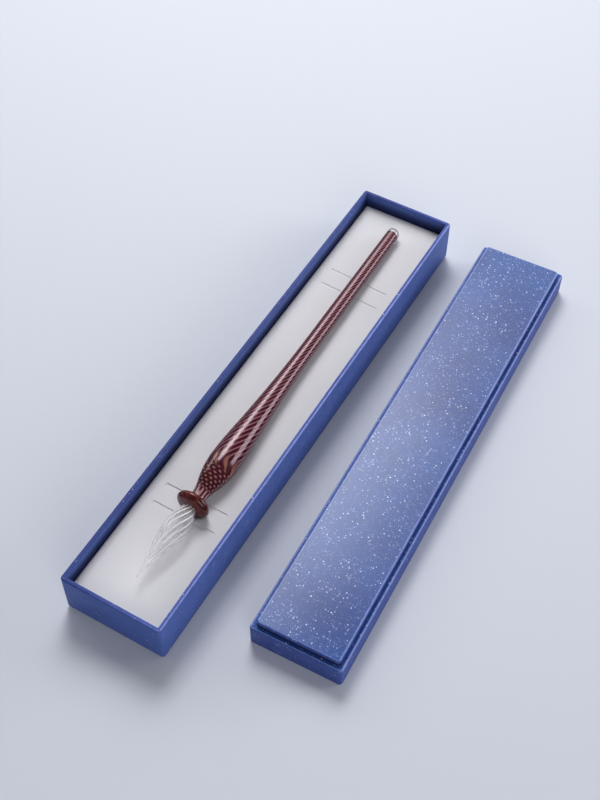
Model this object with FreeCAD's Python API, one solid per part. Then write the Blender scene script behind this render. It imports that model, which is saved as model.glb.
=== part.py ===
import FreeCAD
import Part
import math
import os

Vector = FreeCAD.Vector
Placement = FreeCAD.Placement
Rotation = FreeCAD.Rotation

# Tray of the case, outside sizes; its length follows from the pen
tray_width = 38.2
tray_height = 18.2
tray_edge_radius = 1.2
tray_foot_radius = 1.0

# Board, paper and tape of the case
board_thickness = 1.1
paper_thickness = 0.2
stay_thickness = 0.1
stay_leg = 9.0
stay_margin = 1.5
rim_fold_share = 1.4
sheet_thickness = 0.3
sheet_margin = 2.5

# Soft insert with two pairs of cross slits
pad_depth = 5.9
pad_clearance = 0.3
facing_thickness = 0.4
slit_length = 24.5
slit_width = 0.6
slit_depth = 6.0
slit_spacing = 8.1
slit_end_distance = 43.4

# Glass pen's barrel: clear tail, stem, flare to the belly, grip and neck
barrel_length = 146.5
tail_cap_length = 3.2
tail_diameter = 5.0
stem_diameter = 5.65
flare_length = 62.0
belly_diameter = 10.8
belly_radius_of_sweep = 150.0
grip_length = 18.5
grip_radius_of_sweep = 36.0
neck_diameter = 5.3
neck_length = 1.4

# Collar between barrel and nib, a little askew as hand-made ones are
collar_diameter = 12.0
collar_thickness = 4.6
collar_edge_radius = 1.4
collar_web = 2.0
collar_lean_angle = 3.5

# Twisted nib
nib_length = 31.5
nib_root_diameter = 4.9
nib_diameter = 8.0
tip_diameter = 0.5
tenon_margin = 0.3
flute_count = 12
nib_section_count = 16
nib_twist_angle = 150.0
nib_shares = ((0.09, 0.88), (0.19, 1.0), (0.38, 0.87), (0.60, 0.50), (0.80, 0.22))
flute_depth_share = 0.17

# Pen's place on the pad
pen_clearance = 0.3
collar_sink = 1.8
pen_tail_gap = 10.1
pen_tip_gap = 11.7
pen_shift = 0.7
pen_turn_angle = 0.4

# Lid, which drops into the tray with a gap all round
lid_end_gap = 5.9
lid_side_gap = 0.9
ledge_height = 9.0
panel_rise = 2.4
band_thickness = 1.6
top_board_thickness = 0.7
lining_thickness = 0.1
lid_edge_radius = 1.2
panel_corner_radius = 1.2

# Lid's place beside the tray
lid_apart = 16.8
lid_ahead = 12.3
lid_turn_angle = 1.9

# Sizes that follow from the ones above
overrun = tray_height
tape_inset = paper_thickness + stay_thickness
wall_thickness = tape_inset + board_thickness + paper_thickness
rim_fold = rim_fold_share * paper_thickness
pen_length = barrel_length + collar_web + nib_length
inner_length = pen_tip_gap + pen_length + pen_tail_gap
inner_width = tray_width - 2 * wall_thickness
tray_length = inner_length + 2 * wall_thickness
base_level = sheet_thickness + paper_thickness
floor_level = base_level + board_thickness
pad_level = tray_height - pad_depth
belly_station = barrel_length - grip_length
flare_station = belly_station - flare_length
tail_radius = tail_diameter / 2
stem_radius = stem_diameter / 2
belly_radius = belly_diameter / 2
neck_radius = neck_diameter / 2
collar_radius = collar_diameter / 2
collar_station = barrel_length + collar_web / 2
nib_root_station = barrel_length + collar_web
nib_root_radius = nib_root_diameter / 2
tenon_length = (collar_thickness - collar_web) / 2 + tenon_margin
lid_length = inner_length - 2 * lid_end_gap
lid_width = inner_width - 2 * lid_side_gap
lid_height = ledge_height + panel_rise
ledge_width = band_thickness + stay_thickness
panel_length = lid_length - 2 * ledge_width
panel_width = lid_width - 2 * ledge_width


def block(width, length, low, high):
    """Upright block centred on the Z axis."""
    corner = Vector(-width / 2, -length / 2, low)
    return Part.makeBox(width, length, high - low, corner)


def upright_edges(shape):
    def is_upright(edge):
        first = edge.Vertexes[0].Point
        last = edge.Vertexes[-1].Point
        return abs(first.x - last.x) + abs(first.y - last.y) < Part.Precision.confusion()
    return [edge for edge in shape.Edges if len(edge.Vertexes) > 1 and is_upright(edge)]


def edges_at(shape, level):
    def is_level(edge):
        box = edge.BoundBox
        return abs(box.ZMin - level) + abs(box.ZMax - level) < Part.Precision.confusion() * 10
    return [edge for edge in shape.Edges if is_level(edge)]


def rounded_block(width, length, low, high, upright_radius):
    """Block with round upright edges."""
    shape = block(width, length, low, high)
    return shape.makeFillet(upright_radius, upright_edges(shape))


def footed_block(width, length, low, high, upright_radius, foot_radius):
    """Block with round upright edges and round edges at its foot."""
    shape = rounded_block(width, length, low, high, upright_radius)
    return shape.makeFillet(foot_radius, edges_at(shape, low))


def folded_block(width, length, high, upright_radius):
    """Block that stands on the ground, with round upright edges and the paper's fold at its top."""
    shape = rounded_block(width, length, 0, high, upright_radius)
    return shape.makeChamfer(rim_fold, edges_at(shape, high))


def frame_boards(ring, inner_x, inner_y, low, high):
    """Cut a rectangular ring into the four boards that butt at its corners."""
    reach = tray_length + lid_length
    height = high - low
    boards = {}
    boards["left"] = Part.makeBox(reach, 2 * inner_y, height, Vector(-inner_x - reach, -inner_y, low))
    boards["right"] = Part.makeBox(reach, 2 * inner_y, height, Vector(inner_x, -inner_y, low))
    boards["near"] = Part.makeBox(2 * reach, reach, height, Vector(-reach, -inner_y - reach, low))
    boards["far"] = Part.makeBox(2 * reach, reach, height, Vector(-reach, inner_y, low))
    return {side: ring.common(region) for side, region in boards.items()}


def corner_stays(gap, width, length, low, high):
    """Four tapes folded round the corners of a rectangular gap."""
    stays = []
    for side_x in (-1, 1):
        for side_y in (-1, 1):
            centre = Vector(side_x * width / 2, side_y * length / 2, 0)
            region = block(2 * stay_leg, 2 * stay_leg, low, high)
            region.translate(centre)
            stays.append(gap.common(region))
    return stays


def tray_pieces():
    """Board box, its corner tapes, covering paper and base sheet."""
    paper_width = tray_width - 2 * paper_thickness
    paper_length = tray_length - 2 * paper_thickness
    board_width = tray_width - 2 * tape_inset
    board_length = tray_length - 2 * tape_inset
    rim_level = tray_height - paper_thickness
    paper_radius = tray_edge_radius - paper_thickness
    board_radius = tray_edge_radius - tape_inset
    foot_radius = tray_foot_radius - paper_thickness

    outside = footed_block(tray_width, tray_length, sheet_thickness, tray_height,
                           tray_edge_radius, tray_foot_radius)
    inside = footed_block(paper_width, paper_length, base_level, rim_level, paper_radius, foot_radius)
    board_hull = footed_block(board_width, board_length, base_level, rim_level, board_radius, foot_radius)
    room = block(inner_width, inner_length, floor_level, tray_height + overrun)
    board_room = block(inner_width + 2 * paper_thickness, inner_length + 2 * paper_thickness,
                       floor_level, tray_height + overrun)

    covered = outside.cut(room)
    covered = covered.makeChamfer(rim_fold, edges_at(covered, tray_height))
    pieces = {"tray_wrap": covered.cut(inside.cut(board_room))}

    inner_x = inner_width / 2 + paper_thickness
    inner_y = inner_length / 2 + paper_thickness
    boards = frame_boards(board_hull, inner_x, inner_y, base_level, rim_level)
    for side, board in boards.items():
        pieces["tray_wall_" + side] = board
    pieces["tray_base_board"] = block(2 * inner_x, 2 * inner_y, base_level, floor_level)

    stays = corner_stays(inside.cut(board_hull), paper_width, paper_length,
                         base_level + tray_foot_radius, rim_level - stay_margin)
    for number, stay in enumerate(stays, start=1):
        pieces["tray_stay_" + str(number)] = stay

    pieces["tray_base_sheet"] = block(tray_width - 2 * sheet_margin, tray_length - 2 * sheet_margin,
                                      0, sheet_thickness)
    return pieces


def arc_between(centre, radius, first, last):
    """Arc about a centre, from one point on it to another."""
    middle = (first + last) / 2 - centre
    middle.normalize()
    return Part.Arc(first, centre + middle * radius, last).toShape()


def hollow_arc(meeting, outward, crown_centre, crown_radius):
    """Centre and radius of the hollow arc that leaves a line at a point and runs into a crown."""
    reach = meeting - crown_centre
    radius = (reach.dot(reach) - crown_radius ** 2) / (2 * (crown_radius - outward.dot(reach)))
    return meeting + outward * radius, radius


def barrel_solid(growth):
    """Tapered stem, swelling belly, grip and neck, as tangent lines and arcs turned about Z."""
    along = Vector(0, 0, 1)
    stem_start = Vector(tail_radius, 0, tail_cap_length)
    stem_end = Vector(stem_radius, 0, flare_station)
    stem_normal = (stem_end - stem_start).cross(Vector(0, 1, 0)).normalize() * -1
    crown = Vector(belly_radius, 0, belly_station)
    neck_start = Vector(neck_radius, 0, barrel_length - neck_length)
    across = Vector(1, 0, 0)

    belly_centre = crown - across * belly_radius_of_sweep
    grip_centre = crown - across * grip_radius_of_sweep
    flare_centre, flare_radius = hollow_arc(stem_end, stem_normal, belly_centre, belly_radius_of_sweep)
    throat_centre, throat_radius = hollow_arc(neck_start, across, grip_centre, grip_radius_of_sweep)
    flare_normal = (flare_centre - belly_centre).normalize()
    throat_normal = (throat_centre - grip_centre).normalize()

    belly_radius_grown = belly_radius_of_sweep + growth
    grip_radius_grown = grip_radius_of_sweep + growth
    first = Vector(tail_radius + growth, 0, tail_cap_length)
    stem_last = stem_end + stem_normal * growth
    belly_first = belly_centre + flare_normal * belly_radius_grown
    crown_top = crown + across * growth
    grip_last = grip_centre + throat_normal * grip_radius_grown
    neck_first = neck_start + across * growth
    neck_last = Vector(neck_first.x, 0, barrel_length)
    axis_first = Vector(0, 0, tail_cap_length)
    axis_last = Vector(0, 0, barrel_length)

    edges = [Part.makeLine(first, stem_last)]
    edges.append(arc_between(flare_centre, flare_radius - growth, stem_last, belly_first))
    edges.append(arc_between(belly_centre, belly_radius_grown, belly_first, crown_top))
    edges.append(arc_between(grip_centre, grip_radius_grown, crown_top, grip_last))
    edges.append(arc_between(throat_centre, throat_radius - growth, grip_last, neck_first))
    edges.append(Part.makeLine(neck_first, neck_last))
    edges.append(Part.makeLine(neck_last, axis_last))
    edges.append(Part.makeLine(axis_last, axis_first))
    edges.append(Part.makeLine(axis_first, first))
    return Part.Face(Part.Wire(edges)).revolve(Vector(0, 0, 0), along, 360)


def collar_solid(growth):
    """Flattened drop about the origin: two shallow caps that run into a round edge."""
    half = collar_thickness / 2
    edge_centre = Vector(collar_radius - collar_edge_radius, 0, 0)
    rise = half - collar_edge_radius
    cap_radius = (edge_centre.x ** 2 + half ** 2 - collar_edge_radius ** 2) / (2 * rise)
    cap_centre = Vector(0, 0, half - cap_radius)
    towards_edge = (edge_centre - cap_centre).normalize()
    top = Vector(0, 0, half + growth)
    cap_end = cap_centre + towards_edge * (cap_radius + growth)
    edge = Vector(collar_radius + growth, 0, 0)
    lower_end = Vector(cap_end.x, 0, -cap_end.z)
    edges = [arc_between(cap_centre, cap_radius + growth, top, cap_end)]
    edges.append(Part.Arc(cap_end, edge, lower_end).toShape())
    edges.append(arc_between(-cap_centre, cap_radius + growth, lower_end, -top))
    edges.append(Part.makeLine(-top, top))
    return Part.Face(Part.Wire(edges)).revolve(Vector(0, 0, 0), Vector(0, 0, 1), 360)


def fluted_ring(station, radius, turn):
    """Corners of one section of the nib: ridges with a groove between each two."""
    step = math.pi / flute_count
    corners = []
    for index in range(2 * flute_count):
        angle = turn + index * step
        distance = radius * (1 - flute_depth_share * (index % 2))
        corners.append(Vector(distance * math.cos(angle), distance * math.sin(angle), station))
    return corners


def flat_face(corners):
    return Part.Face(Part.makePolygon(corners + corners[:1]))


def skin_between(lower, upper):
    """Triangles from one ring of corners to the next."""
    faces = []
    for index in range(len(lower)):
        before = index - 1
        faces.append(flat_face([lower[before], lower[index], upper[index]]))
        faces.append(flat_face([lower[before], upper[index], upper[before]]))
    return faces


def nib_solid():
    """Drop-shaped nib with flutes twisted towards the point, on a round root."""
    flute_start = nib_root_station + tenon_length
    flute_length = pen_length - flute_start
    full_turn = math.radians(nib_twist_angle)
    points = [Vector(nib_root_radius, 0, flute_start)]
    for station_share, radius_share in nib_shares:
        points.append(Vector(radius_share * nib_diameter / 2, 0, flute_start + station_share * flute_length))
    points.append(Vector(tip_diameter / 2, 0, pen_length))
    outline = Part.BSplineCurve()
    outline.interpolate(points)
    rings = []
    for index in range(nib_section_count):
        share = index / (nib_section_count - 1)
        spot = outline.value(outline.FirstParameter + share * (outline.LastParameter - outline.FirstParameter))
        turn = full_turn * (spot.z - flute_start) / flute_length
        rings.append(fluted_ring(spot.z, spot.x, turn))
    faces = [flat_face(rings[0][::-1]), flat_face(rings[-1])]
    for lower, upper in zip(rings, rings[1:]):
        faces.extend(skin_between(lower, upper))
    skin = Part.Shell(faces)
    skin.sewShape()
    root = Part.makeCylinder(nib_root_radius, tenon_length, Vector(0, 0, nib_root_station))
    return Part.Solid(skin), root


def pen_placement():
    """The pen lies on the pad with its tail just clear of it and its collar sunk in."""
    tail_height = pad_level + pen_clearance + tail_radius
    collar_height = pad_level - collar_sink + collar_radius
    climb = math.asin((collar_height - tail_height) / collar_station)
    turn = math.radians(pen_turn_angle)
    heading = Vector(math.sin(turn) * math.cos(climb), -math.cos(turn) * math.cos(climb), math.sin(climb))
    tail = Vector(pen_shift, inner_length / 2 - pen_tail_gap, tail_height)
    return Placement(tail, Rotation(Vector(0, 0, 1), heading))


def placed(shape, placement):
    copy = shape.copy()
    copy.Placement = placement.multiply(copy.Placement)
    return copy


def collar_placement():
    pen = pen_placement()
    centre = pen.multVec(Vector(0, 0, collar_station))
    lean = Rotation(Vector(0, 0, 1), collar_lean_angle)
    return Placement(centre, lean.multiply(pen.Rotation))


def tail_solid():
    """Short clear end of the barrel with a domed tip."""
    dome = Part.makeSphere(tail_radius, Vector(0, 0, tail_radius), Vector(0, 0, -1), 0, 90, 360)
    shaft = Part.makeCylinder(tail_radius, tail_cap_length - tail_radius, Vector(0, 0, tail_radius))
    return shaft.fuse(dome).removeSplitter()


def pen_pieces():
    """Patterned barrel, clear tail, collar and nib, fused end to end."""
    pen = pen_placement()
    barrel = barrel_solid(0)
    fluted, root = nib_solid()
    # Cut on the pen's own axis, so that the cuts don't depend on where the pen lies
    collar = placed(collar_solid(0), pen.inverse().multiply(collar_placement()))
    collar = collar.cut(barrel).cut(root)
    pieces = {}
    pieces["pen_tail"] = placed(tail_solid(), pen)
    pieces["pen_barrel"] = placed(barrel, pen)
    pieces["pen_collar"] = placed(collar, pen)
    pieces["pen_nib"] = placed(fluted.fuse(root), pen)
    return pieces


def insert_pieces():
    """Foam pad and its facing, slit in two places and pressed in where the pen lies."""
    width = inner_width - 2 * pad_clearance
    length = inner_length - 2 * pad_clearance
    facing_low = pad_level - facing_thickness
    foam = block(width, length, floor_level, facing_low)
    facing = block(width, length, facing_low, pad_level)

    barrel_bed = placed(barrel_solid(pen_clearance), pen_placement())
    collar_bed = placed(collar_solid(pen_clearance), collar_placement())
    bed = barrel_bed.fuse(collar_bed)
    foam = foam.cut(bed)
    facing = facing.cut(bed)

    for pair_side in (-1, 1):
        for slit_side in (-1, 1):
            slit = block(slit_length, slit_width, pad_level - slit_depth, pad_level + overrun)
            place = pair_side * (inner_length / 2 - slit_end_distance) + slit_side * slit_spacing / 2
            slit.translate(Vector(0, place, 0))
            foam = foam.cut(slit)
            facing = facing.cut(slit)
    return {"insert_foam": foam, "insert_facing": facing}


def lid_pieces():
    """Inner board box, outer band that makes the ledge, tapes, covering paper and lining."""
    band_top = ledge_height - paper_thickness
    panel_top = lid_height - paper_thickness
    paper_band = rounded_block(lid_width - 2 * paper_thickness, lid_length - 2 * paper_thickness,
                               0, band_top, lid_edge_radius - paper_thickness)
    paper_panel = rounded_block(panel_width - 2 * paper_thickness, panel_length - 2 * paper_thickness,
                                0, panel_top, panel_corner_radius - paper_thickness)
    band_outside = folded_block(lid_width, lid_length, ledge_height, lid_edge_radius)
    panel_outside = folded_block(panel_width, panel_length, lid_height, panel_corner_radius)
    pieces = {"lid_wrap": band_outside.fuse(panel_outside).cut(paper_band.fuse(paper_panel))}

    band_hull = rounded_block(lid_width - 2 * tape_inset, lid_length - 2 * tape_inset,
                              0, band_top, lid_edge_radius - tape_inset)
    wall_x = panel_width / 2 - paper_thickness
    wall_y = panel_length / 2 - paper_thickness
    band_ring = band_hull.cut(block(2 * wall_x, 2 * wall_y, -overrun, band_top + overrun))
    for side, board in frame_boards(band_ring, wall_x, wall_y, 0, band_top).items():
        pieces["lid_band_" + side] = board

    wall_top = panel_top - top_board_thickness
    pieces["lid_top_board"] = paper_panel.common(block(panel_width, panel_length, wall_top, lid_height))
    room_x = wall_x - board_thickness
    room_y = wall_y - board_thickness
    wall_ring = paper_panel.cut(block(2 * room_x, 2 * room_y, -overrun, lid_height + overrun))
    for side, board in frame_boards(wall_ring, room_x, room_y, 0, wall_top).items():
        pieces["lid_wall_" + side] = board

    stays = corner_stays(paper_band.cut(band_hull).cut(paper_panel), lid_width, lid_length,
                         stay_margin, band_top - stay_margin)
    for number, stay in enumerate(stays, start=1):
        pieces["lid_stay_" + str(number)] = stay

    lined = block(2 * room_x, 2 * room_y, 0, wall_top)
    bare = block(2 * (room_x - lining_thickness), 2 * (room_y - lining_thickness),
                 -overrun, wall_top - lining_thickness)
    pieces["lid_lining"] = lined.cut(bare)

    centre = Vector(tray_width / 2 + lid_apart + lid_width / 2, lid_ahead, 0)
    beside = Placement(centre, Rotation(Vector(0, 0, 1), lid_turn_angle))
    return {name: placed(shape, beside) for name, shape in pieces.items()}


os.makedirs("parts", exist_ok=True)
for pieces in (tray_pieces(), insert_pieces(), pen_pieces(), lid_pieces()):
    for name, shape in pieces.items():
        shape.exportStep("parts/" + name + ".step")
        print(name, len(shape.Solids), shape.isValid(), round(shape.Volume, 2))
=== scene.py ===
import math

import bmesh
import bpy
from mathutils import Matrix, Vector, noise


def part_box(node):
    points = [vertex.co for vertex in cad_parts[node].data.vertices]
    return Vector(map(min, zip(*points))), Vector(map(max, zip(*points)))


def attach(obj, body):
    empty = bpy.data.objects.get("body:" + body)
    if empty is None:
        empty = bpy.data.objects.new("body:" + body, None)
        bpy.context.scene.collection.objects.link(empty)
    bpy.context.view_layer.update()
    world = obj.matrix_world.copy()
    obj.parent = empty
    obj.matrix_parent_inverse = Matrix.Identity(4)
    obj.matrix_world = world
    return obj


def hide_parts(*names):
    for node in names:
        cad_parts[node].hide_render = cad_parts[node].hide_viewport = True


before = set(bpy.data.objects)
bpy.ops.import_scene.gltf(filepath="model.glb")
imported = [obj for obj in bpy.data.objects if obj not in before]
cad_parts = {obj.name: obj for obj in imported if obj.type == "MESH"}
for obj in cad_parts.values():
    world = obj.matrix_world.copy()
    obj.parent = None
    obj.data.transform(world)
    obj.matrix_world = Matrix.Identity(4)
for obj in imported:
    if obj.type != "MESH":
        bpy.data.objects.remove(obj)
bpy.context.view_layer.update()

# Camera: a moderate long lens, high up at the nib's end and to the right, looking down
# across the open case so that the tray and the lid run away to the upper right.
mm = 0.001
camera_place = Vector((145.1, -235.25, 370.57)) * mm
camera_turn = (37.283, -0.107, 30.049)
camera_data = bpy.data.cameras.new("camera")
camera_data.lens = 56.8
camera_data.sensor_width = 36.0
camera_data.clip_start = 10 * mm
camera = bpy.data.objects.new("camera", camera_data)
camera.location = camera_place
camera.rotation_euler = [math.radians(turn) for turn in camera_turn]
bpy.context.scene.collection.objects.link(camera)
bpy.context.scene.camera = camera
bpy.context.scene.view_settings.view_transform = "Standard"


# Boards of the tray and the lid: raw greyboard, pressed from waste paper and guillotined,
# glued edge to edge. Only their cut edges show, under the lid.
def linear(hex_colour):
    channels = [int(hex_colour[start:start + 2], 16) / 255 for start in (1, 3, 5)]
    return [c / 12.92 if c <= 0.04045 else ((c + 0.055) / 1.055) ** 2.4 for c in channels] + [1.0]


def add(tree, kind, inputs, **settings):
    made = tree.nodes.new("ShaderNode" + kind)
    for name, value in settings.items():
        setattr(made, name, value)
    for socket, value in inputs.items():
        if isinstance(value, bpy.types.NodeSocket):
            tree.links.new(value, made.inputs[socket])
        else:
            made.inputs[socket].default_value = value
    return made


def finish_named(name, values):
    # A new material, its node tree, and its shader with those inputs set.
    finish = bpy.data.materials.new(name)
    finish.use_nodes = True
    shader = finish.node_tree.nodes["Principled BSDF"]
    for socket, value in values.items():
        shader.inputs[socket].default_value = value
    return finish, finish.node_tree, shader


def dress(node_name, finish):
    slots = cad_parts[node_name].data.materials
    slots.clear()
    slots.append(finish)


# Greyboard: matt, mottled grey-brown with darker bits of fibre about 0.6 mm long.
greyboard, tree, shader = finish_named("greyboard", {"Roughness": 0.92})
place = add(tree, "TexCoord", {}).outputs["Object"]
mottle = add(tree, "TexNoise", {"Vector": place, "Scale": 1 / (4 * mm), "Detail": 6.0})
bits = add(tree, "TexNoise", {"Vector": place, "Scale": 1 / (0.6 * mm), "Detail": 2.0})
tone = add(tree, "Mix", {"Factor": mottle.outputs["Fac"], "A": linear("#857f78"), "B": linear("#a49e95")},
           data_type="RGBA")
bit_share = add(tree, "MapRange", {"Value": bits.outputs["Fac"], "From Min": 0.62, "From Max": 0.72})
pulp = add(tree, "Mix", {"Factor": bit_share.outputs["Result"], "A": tone.outputs["Result"],
                         "B": linear("#6a625c")}, data_type="RGBA")
tree.links.new(pulp.outputs["Result"], shader.inputs["Base Color"])
rough_face = add(tree, "Bump", {"Height": bits.outputs["Fac"], "Strength": 0.25, "Distance": 0.1 * mm})
tree.links.new(rough_face.outputs["Normal"], shader.inputs["Normal"])
boards = ["tray_base_board", "lid_top_board"]
for side in ("left", "right", "near", "far"):
    boards += ["tray_wall_" + side, "lid_band_" + side, "lid_wall_" + side]
for board in boards:
    dress(board, greyboard)


# Corner stays: gummed kraft paper tape folded round each corner to hold the boards square
# until the covering is on. They stay hidden under the covering paper.
def plain_paper(name, dark_hex, light_hex, fibre_size, detail, distortion, roughness):
    # Matt uncoated paper, whose fibres show as a fine drift between two close tones.
    paper, tree, shader = finish_named(name, {"Roughness": roughness})
    place = add(tree, "TexCoord", {}).outputs["Object"]
    fibre = add(tree, "TexNoise", {"Vector": place, "Scale": 1 / fibre_size, "Detail": detail,
                                   "Distortion": distortion})
    tone = add(tree, "Mix", {"Factor": fibre.outputs["Fac"], "A": linear(dark_hex), "B": linear(light_hex)},
               data_type="RGBA")
    tree.links.new(tone.outputs["Result"], shader.inputs["Base Color"])
    return paper


kraft = plain_paper("gummed_kraft_paper", "#9a7446", "#bf9663", fibre_size=0.8 * mm, detail=5.0,
                    distortion=1.5, roughness=0.7)
corner_count = 4
for number in range(1, corner_count + 1):
    dress("tray_stay_%d" % number, kraft)
    dress("lid_stay_%d" % number, kraft)


# Base sheet: plain navy paper glued under the floor over the turned-under covering.
# It is what the tray stands on.
navy_paper = plain_paper("plain_navy_paper", "#1f2a5c", "#2b3870", fibre_size=1.2 * mm, detail=4.0,
                         distortion=0.0, roughness=0.75)
dress("tray_base_sheet", navy_paper)


# Tray covering: one sheet of blue paper glued round the board box, over the rim and down
# the inside. The folds over board are softly round outside and tight in the corners.
def covering_paper(name, shade_hex, cloud_hex, upright_lighting_hex, speck_share, fibre_strength, pressed_level):
    # Dyed blue paper with drifting pale clouds, white specks 0.1 to 0.6 mm across, loose curly fibres, and
    # folds drawn pale, partly rubbed and
    #     # partly a painted highlight. Creases carry painted shade, upright faces a painted tone for their
    #     light. Above the pressed level it has a satin calender.
    paper, tree, shader = finish_named(name, {"Specular IOR Level": 0.31})
    where = add(tree, "TexCoord", {})
    place = where.outputs["Object"]
    drift = add(tree, "TexNoise", {"Vector": place, "Scale": 1 / (34 * mm), "Detail": 2.0, "Roughness": 0.4})
    drift_share = add(tree, "MapRange", {"Value": drift.outputs["Fac"], "From Min": 0.36, "From Max": 0.66})
    grain = add(tree, "TexNoise", {"Vector": place, "Scale": 1 / (1.1 * mm), "Detail": 4.0})
    cloud = add(tree, "Mix", {"Factor": drift_share.outputs["Result"], "A": linear(shade_hex),
                              "B": linear(cloud_hex)}, data_type="RGBA")
    # Painted light and shade: upright faces get a tone of their own in place of the clouds, standing in for
    # the light they get.
    facing = add(tree, "SeparateXYZ", {"Vector": where.outputs["Normal"]})
    level_share = add(tree, "MapRange", {"Value": facing.outputs["Z"], "From Min": 0.4, "From Max": 0.95})
    sheet_by_facing = add(tree, "Mix", {"Factor": level_share.outputs["Result"], "A": linear(upright_lighting_hex),
                              "B": cloud.outputs["Result"]}, data_type="RGBA")
    grain_share = add(tree, "MapRange", {"Value": grain.outputs["Fac"], "From Min": 0.3, "From Max": 0.7,
                                         "To Min": 0.93, "To Max": 1.07})
    grained = add(tree, "Mix", {"Factor": 1.0, "A": sheet_by_facing.outputs["Result"],
                                "B": grain_share.outputs["Result"]}, data_type="RGBA", blend_type="MULTIPLY")
    thick = add(tree, "TexNoise", {"Vector": place, "Scale": 1 / (9 * mm), "Detail": 3.0})
    thick_share = add(tree, "MapRange", {"Value": thick.outputs["Fac"], "From Min": 0.3, "From Max": 0.7,
                                         "To Min": 0.95, "To Max": 1.07})
    ground = add(tree, "Mix", {"Factor": 1.0, "A": grained.outputs["Result"],
                               "B": thick_share.outputs["Result"]}, data_type="RGBA", blend_type="MULTIPLY")

    # Fibres lie in short loose curls, drawn 0.15 mm wide, coarser than real ones, so that they show.
    curls = add(tree, "TexNoise", {"Vector": place, "Scale": 1 / (6 * mm), "Detail": 0.5})
    curl_tones = add(tree, "SeparateColor", {"Color": curls.outputs["Color"]})
    patches = add(tree, "TexNoise", {"Vector": place, "Scale": 1 / (2.4 * mm), "Detail": 0.0})
    patch_tones = add(tree, "SeparateColor", {"Color": patches.outputs["Color"]})
    strewn = ground
    for tone in ("Red", "Green", "Blue"):
        off = add(tree, "Math", {0: curl_tones.outputs[tone], 1: 0.5}, operation="SUBTRACT")
        line = add(tree, "Math", {0: off.outputs["Value"]}, operation="ABSOLUTE")
        thin = add(tree, "MapRange", {"Value": line.outputs["Value"], "From Min": 0.0, "From Max": 0.009,
                                      "To Min": fibre_strength, "To Max": 0.0})
        patch = add(tree, "MapRange", {"Value": patch_tones.outputs[tone], "From Min": 0.54,
                                       "From Max": 0.64})
        short = add(tree, "Math", {0: thin.outputs["Result"], 1: patch.outputs["Result"]},
                    operation="MULTIPLY")
        strewn = add(tree, "Mix", {"Factor": short.outputs["Value"], "A": strewn.outputs["Result"],
                                   "B": linear("#9db2ec")}, data_type="RGBA")

    # Specks: one cell in a few holds a white dot, more of them where the pulp lay thick. There are large
    # bright ones and small faint ones, and few show on the upright sides.
    upright_share = 0.25
    thin_out = add(tree, "MapRange", {"Value": thick.outputs["Fac"], "From Min": 0.35, "From Max": 0.6,
                                      "To Min": 2.2, "To Max": 0.45})
    specked = strewn
    for cell_size, light in ((0.55 * mm, 0.5), (0.95 * mm, 1.0)):
        shown = add(tree, "MapRange", {"Value": level_share.outputs["Result"],
                                       "To Min": upright_share * light, "To Max": light})
        cells = add(tree, "TexVoronoi", {"Vector": place, "Scale": 1 / cell_size})
        chance = add(tree, "SeparateColor", {"Color": cells.outputs["Color"]})
        size = add(tree, "MapRange", {"Value": chance.outputs["Red"], "From Min": 1 - speck_share,
                                      "From Max": 1.0, "To Min": 0.12, "To Max": 0.30})
        held = add(tree, "Math", {0: chance.outputs["Red"], 1: 1 - speck_share}, operation="GREATER_THAN")
        edge = add(tree, "Math", {0: size.outputs["Result"], 1: cells.outputs["Distance"]},
                   operation="SUBTRACT")
        disc = add(tree, "MapRange", {"Value": edge.outputs["Value"], "From Min": 0.0, "From Max": 0.08})
        speck = add(tree, "Math", {0: disc.outputs["Result"], 1: held.outputs["Value"]},
                    operation="MULTIPLY")
        bright = add(tree, "Math", {0: chance.outputs["Green"], 1: thin_out.outputs["Result"]},
                     operation="POWER")
        lit = add(tree, "Math", {0: bright.outputs["Value"], 1: shown.outputs["Result"]},
                  operation="MULTIPLY")
        speck_light = add(tree, "Math", {0: speck.outputs["Value"], 1: lit.outputs["Value"]},
                          operation="MULTIPLY")
        specked = add(tree, "Mix", {"Factor": speck_light.outputs["Value"], "A": specked.outputs["Result"],
                                    "B": linear("#dcedff")}, data_type="RGBA")

    # Folds are drawn pale in an uneven line, partly rubbing and partly a painted highlight. Inner creases
    # carry painted shade in dark blue.
    fold = add(tree, "Attribute", {}, attribute_name="fold")
    pale_unevenness = add(tree, "MapRange", {"Value": grain.outputs["Fac"], "From Min": 0.3, "From Max": 0.65,
                                 "To Min": 0.5, "To Max": 0.9})
    pale_fold = add(tree, "Math", {0: fold.outputs["Fac"], 1: pale_unevenness.outputs["Result"]}, operation="MULTIPLY",
                 use_clamp=True)
    worn_and_highlit = add(tree, "Mix", {"Factor": pale_fold.outputs["Value"], "A": specked.outputs["Result"],
                             "B": linear("#8d9ad8")}, data_type="RGBA")
    crease_shade = add(tree, "MapRange", {"Value": fold.outputs["Fac"], "From Min": -1.0, "From Max": 0.0,
                                    "To Min": 0.85, "To Max": 0.0})
    shaded_creases = add(tree, "Mix", {"Factor": crease_shade.outputs["Result"], "A": worn_and_highlit.outputs["Result"],
                              "B": linear("#0d1344")}, data_type="RGBA")
    tree.links.new(shaded_creases.outputs["Result"], shader.inputs["Base Color"])
    height = add(tree, "SeparateXYZ", {"Vector": place}).outputs["Z"]
    satin = add(tree, "MapRange", {"Value": height, "From Min": pressed_level - 0.3 * mm,
                                   "From Max": pressed_level, "To Min": 0.6, "To Max": 0.18})
    tree.links.new(satin.outputs["Result"], shader.inputs["Roughness"])
    tooth = add(tree, "Bump", {"Height": grain.outputs["Fac"], "Strength": 0.12, "Distance": 0.05 * mm})
    tree.links.new(tooth.outputs["Normal"], shader.inputs["Normal"])
    return paper


def faces_near_end(vertex):
    return vertex.normal.y < -0.15


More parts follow.
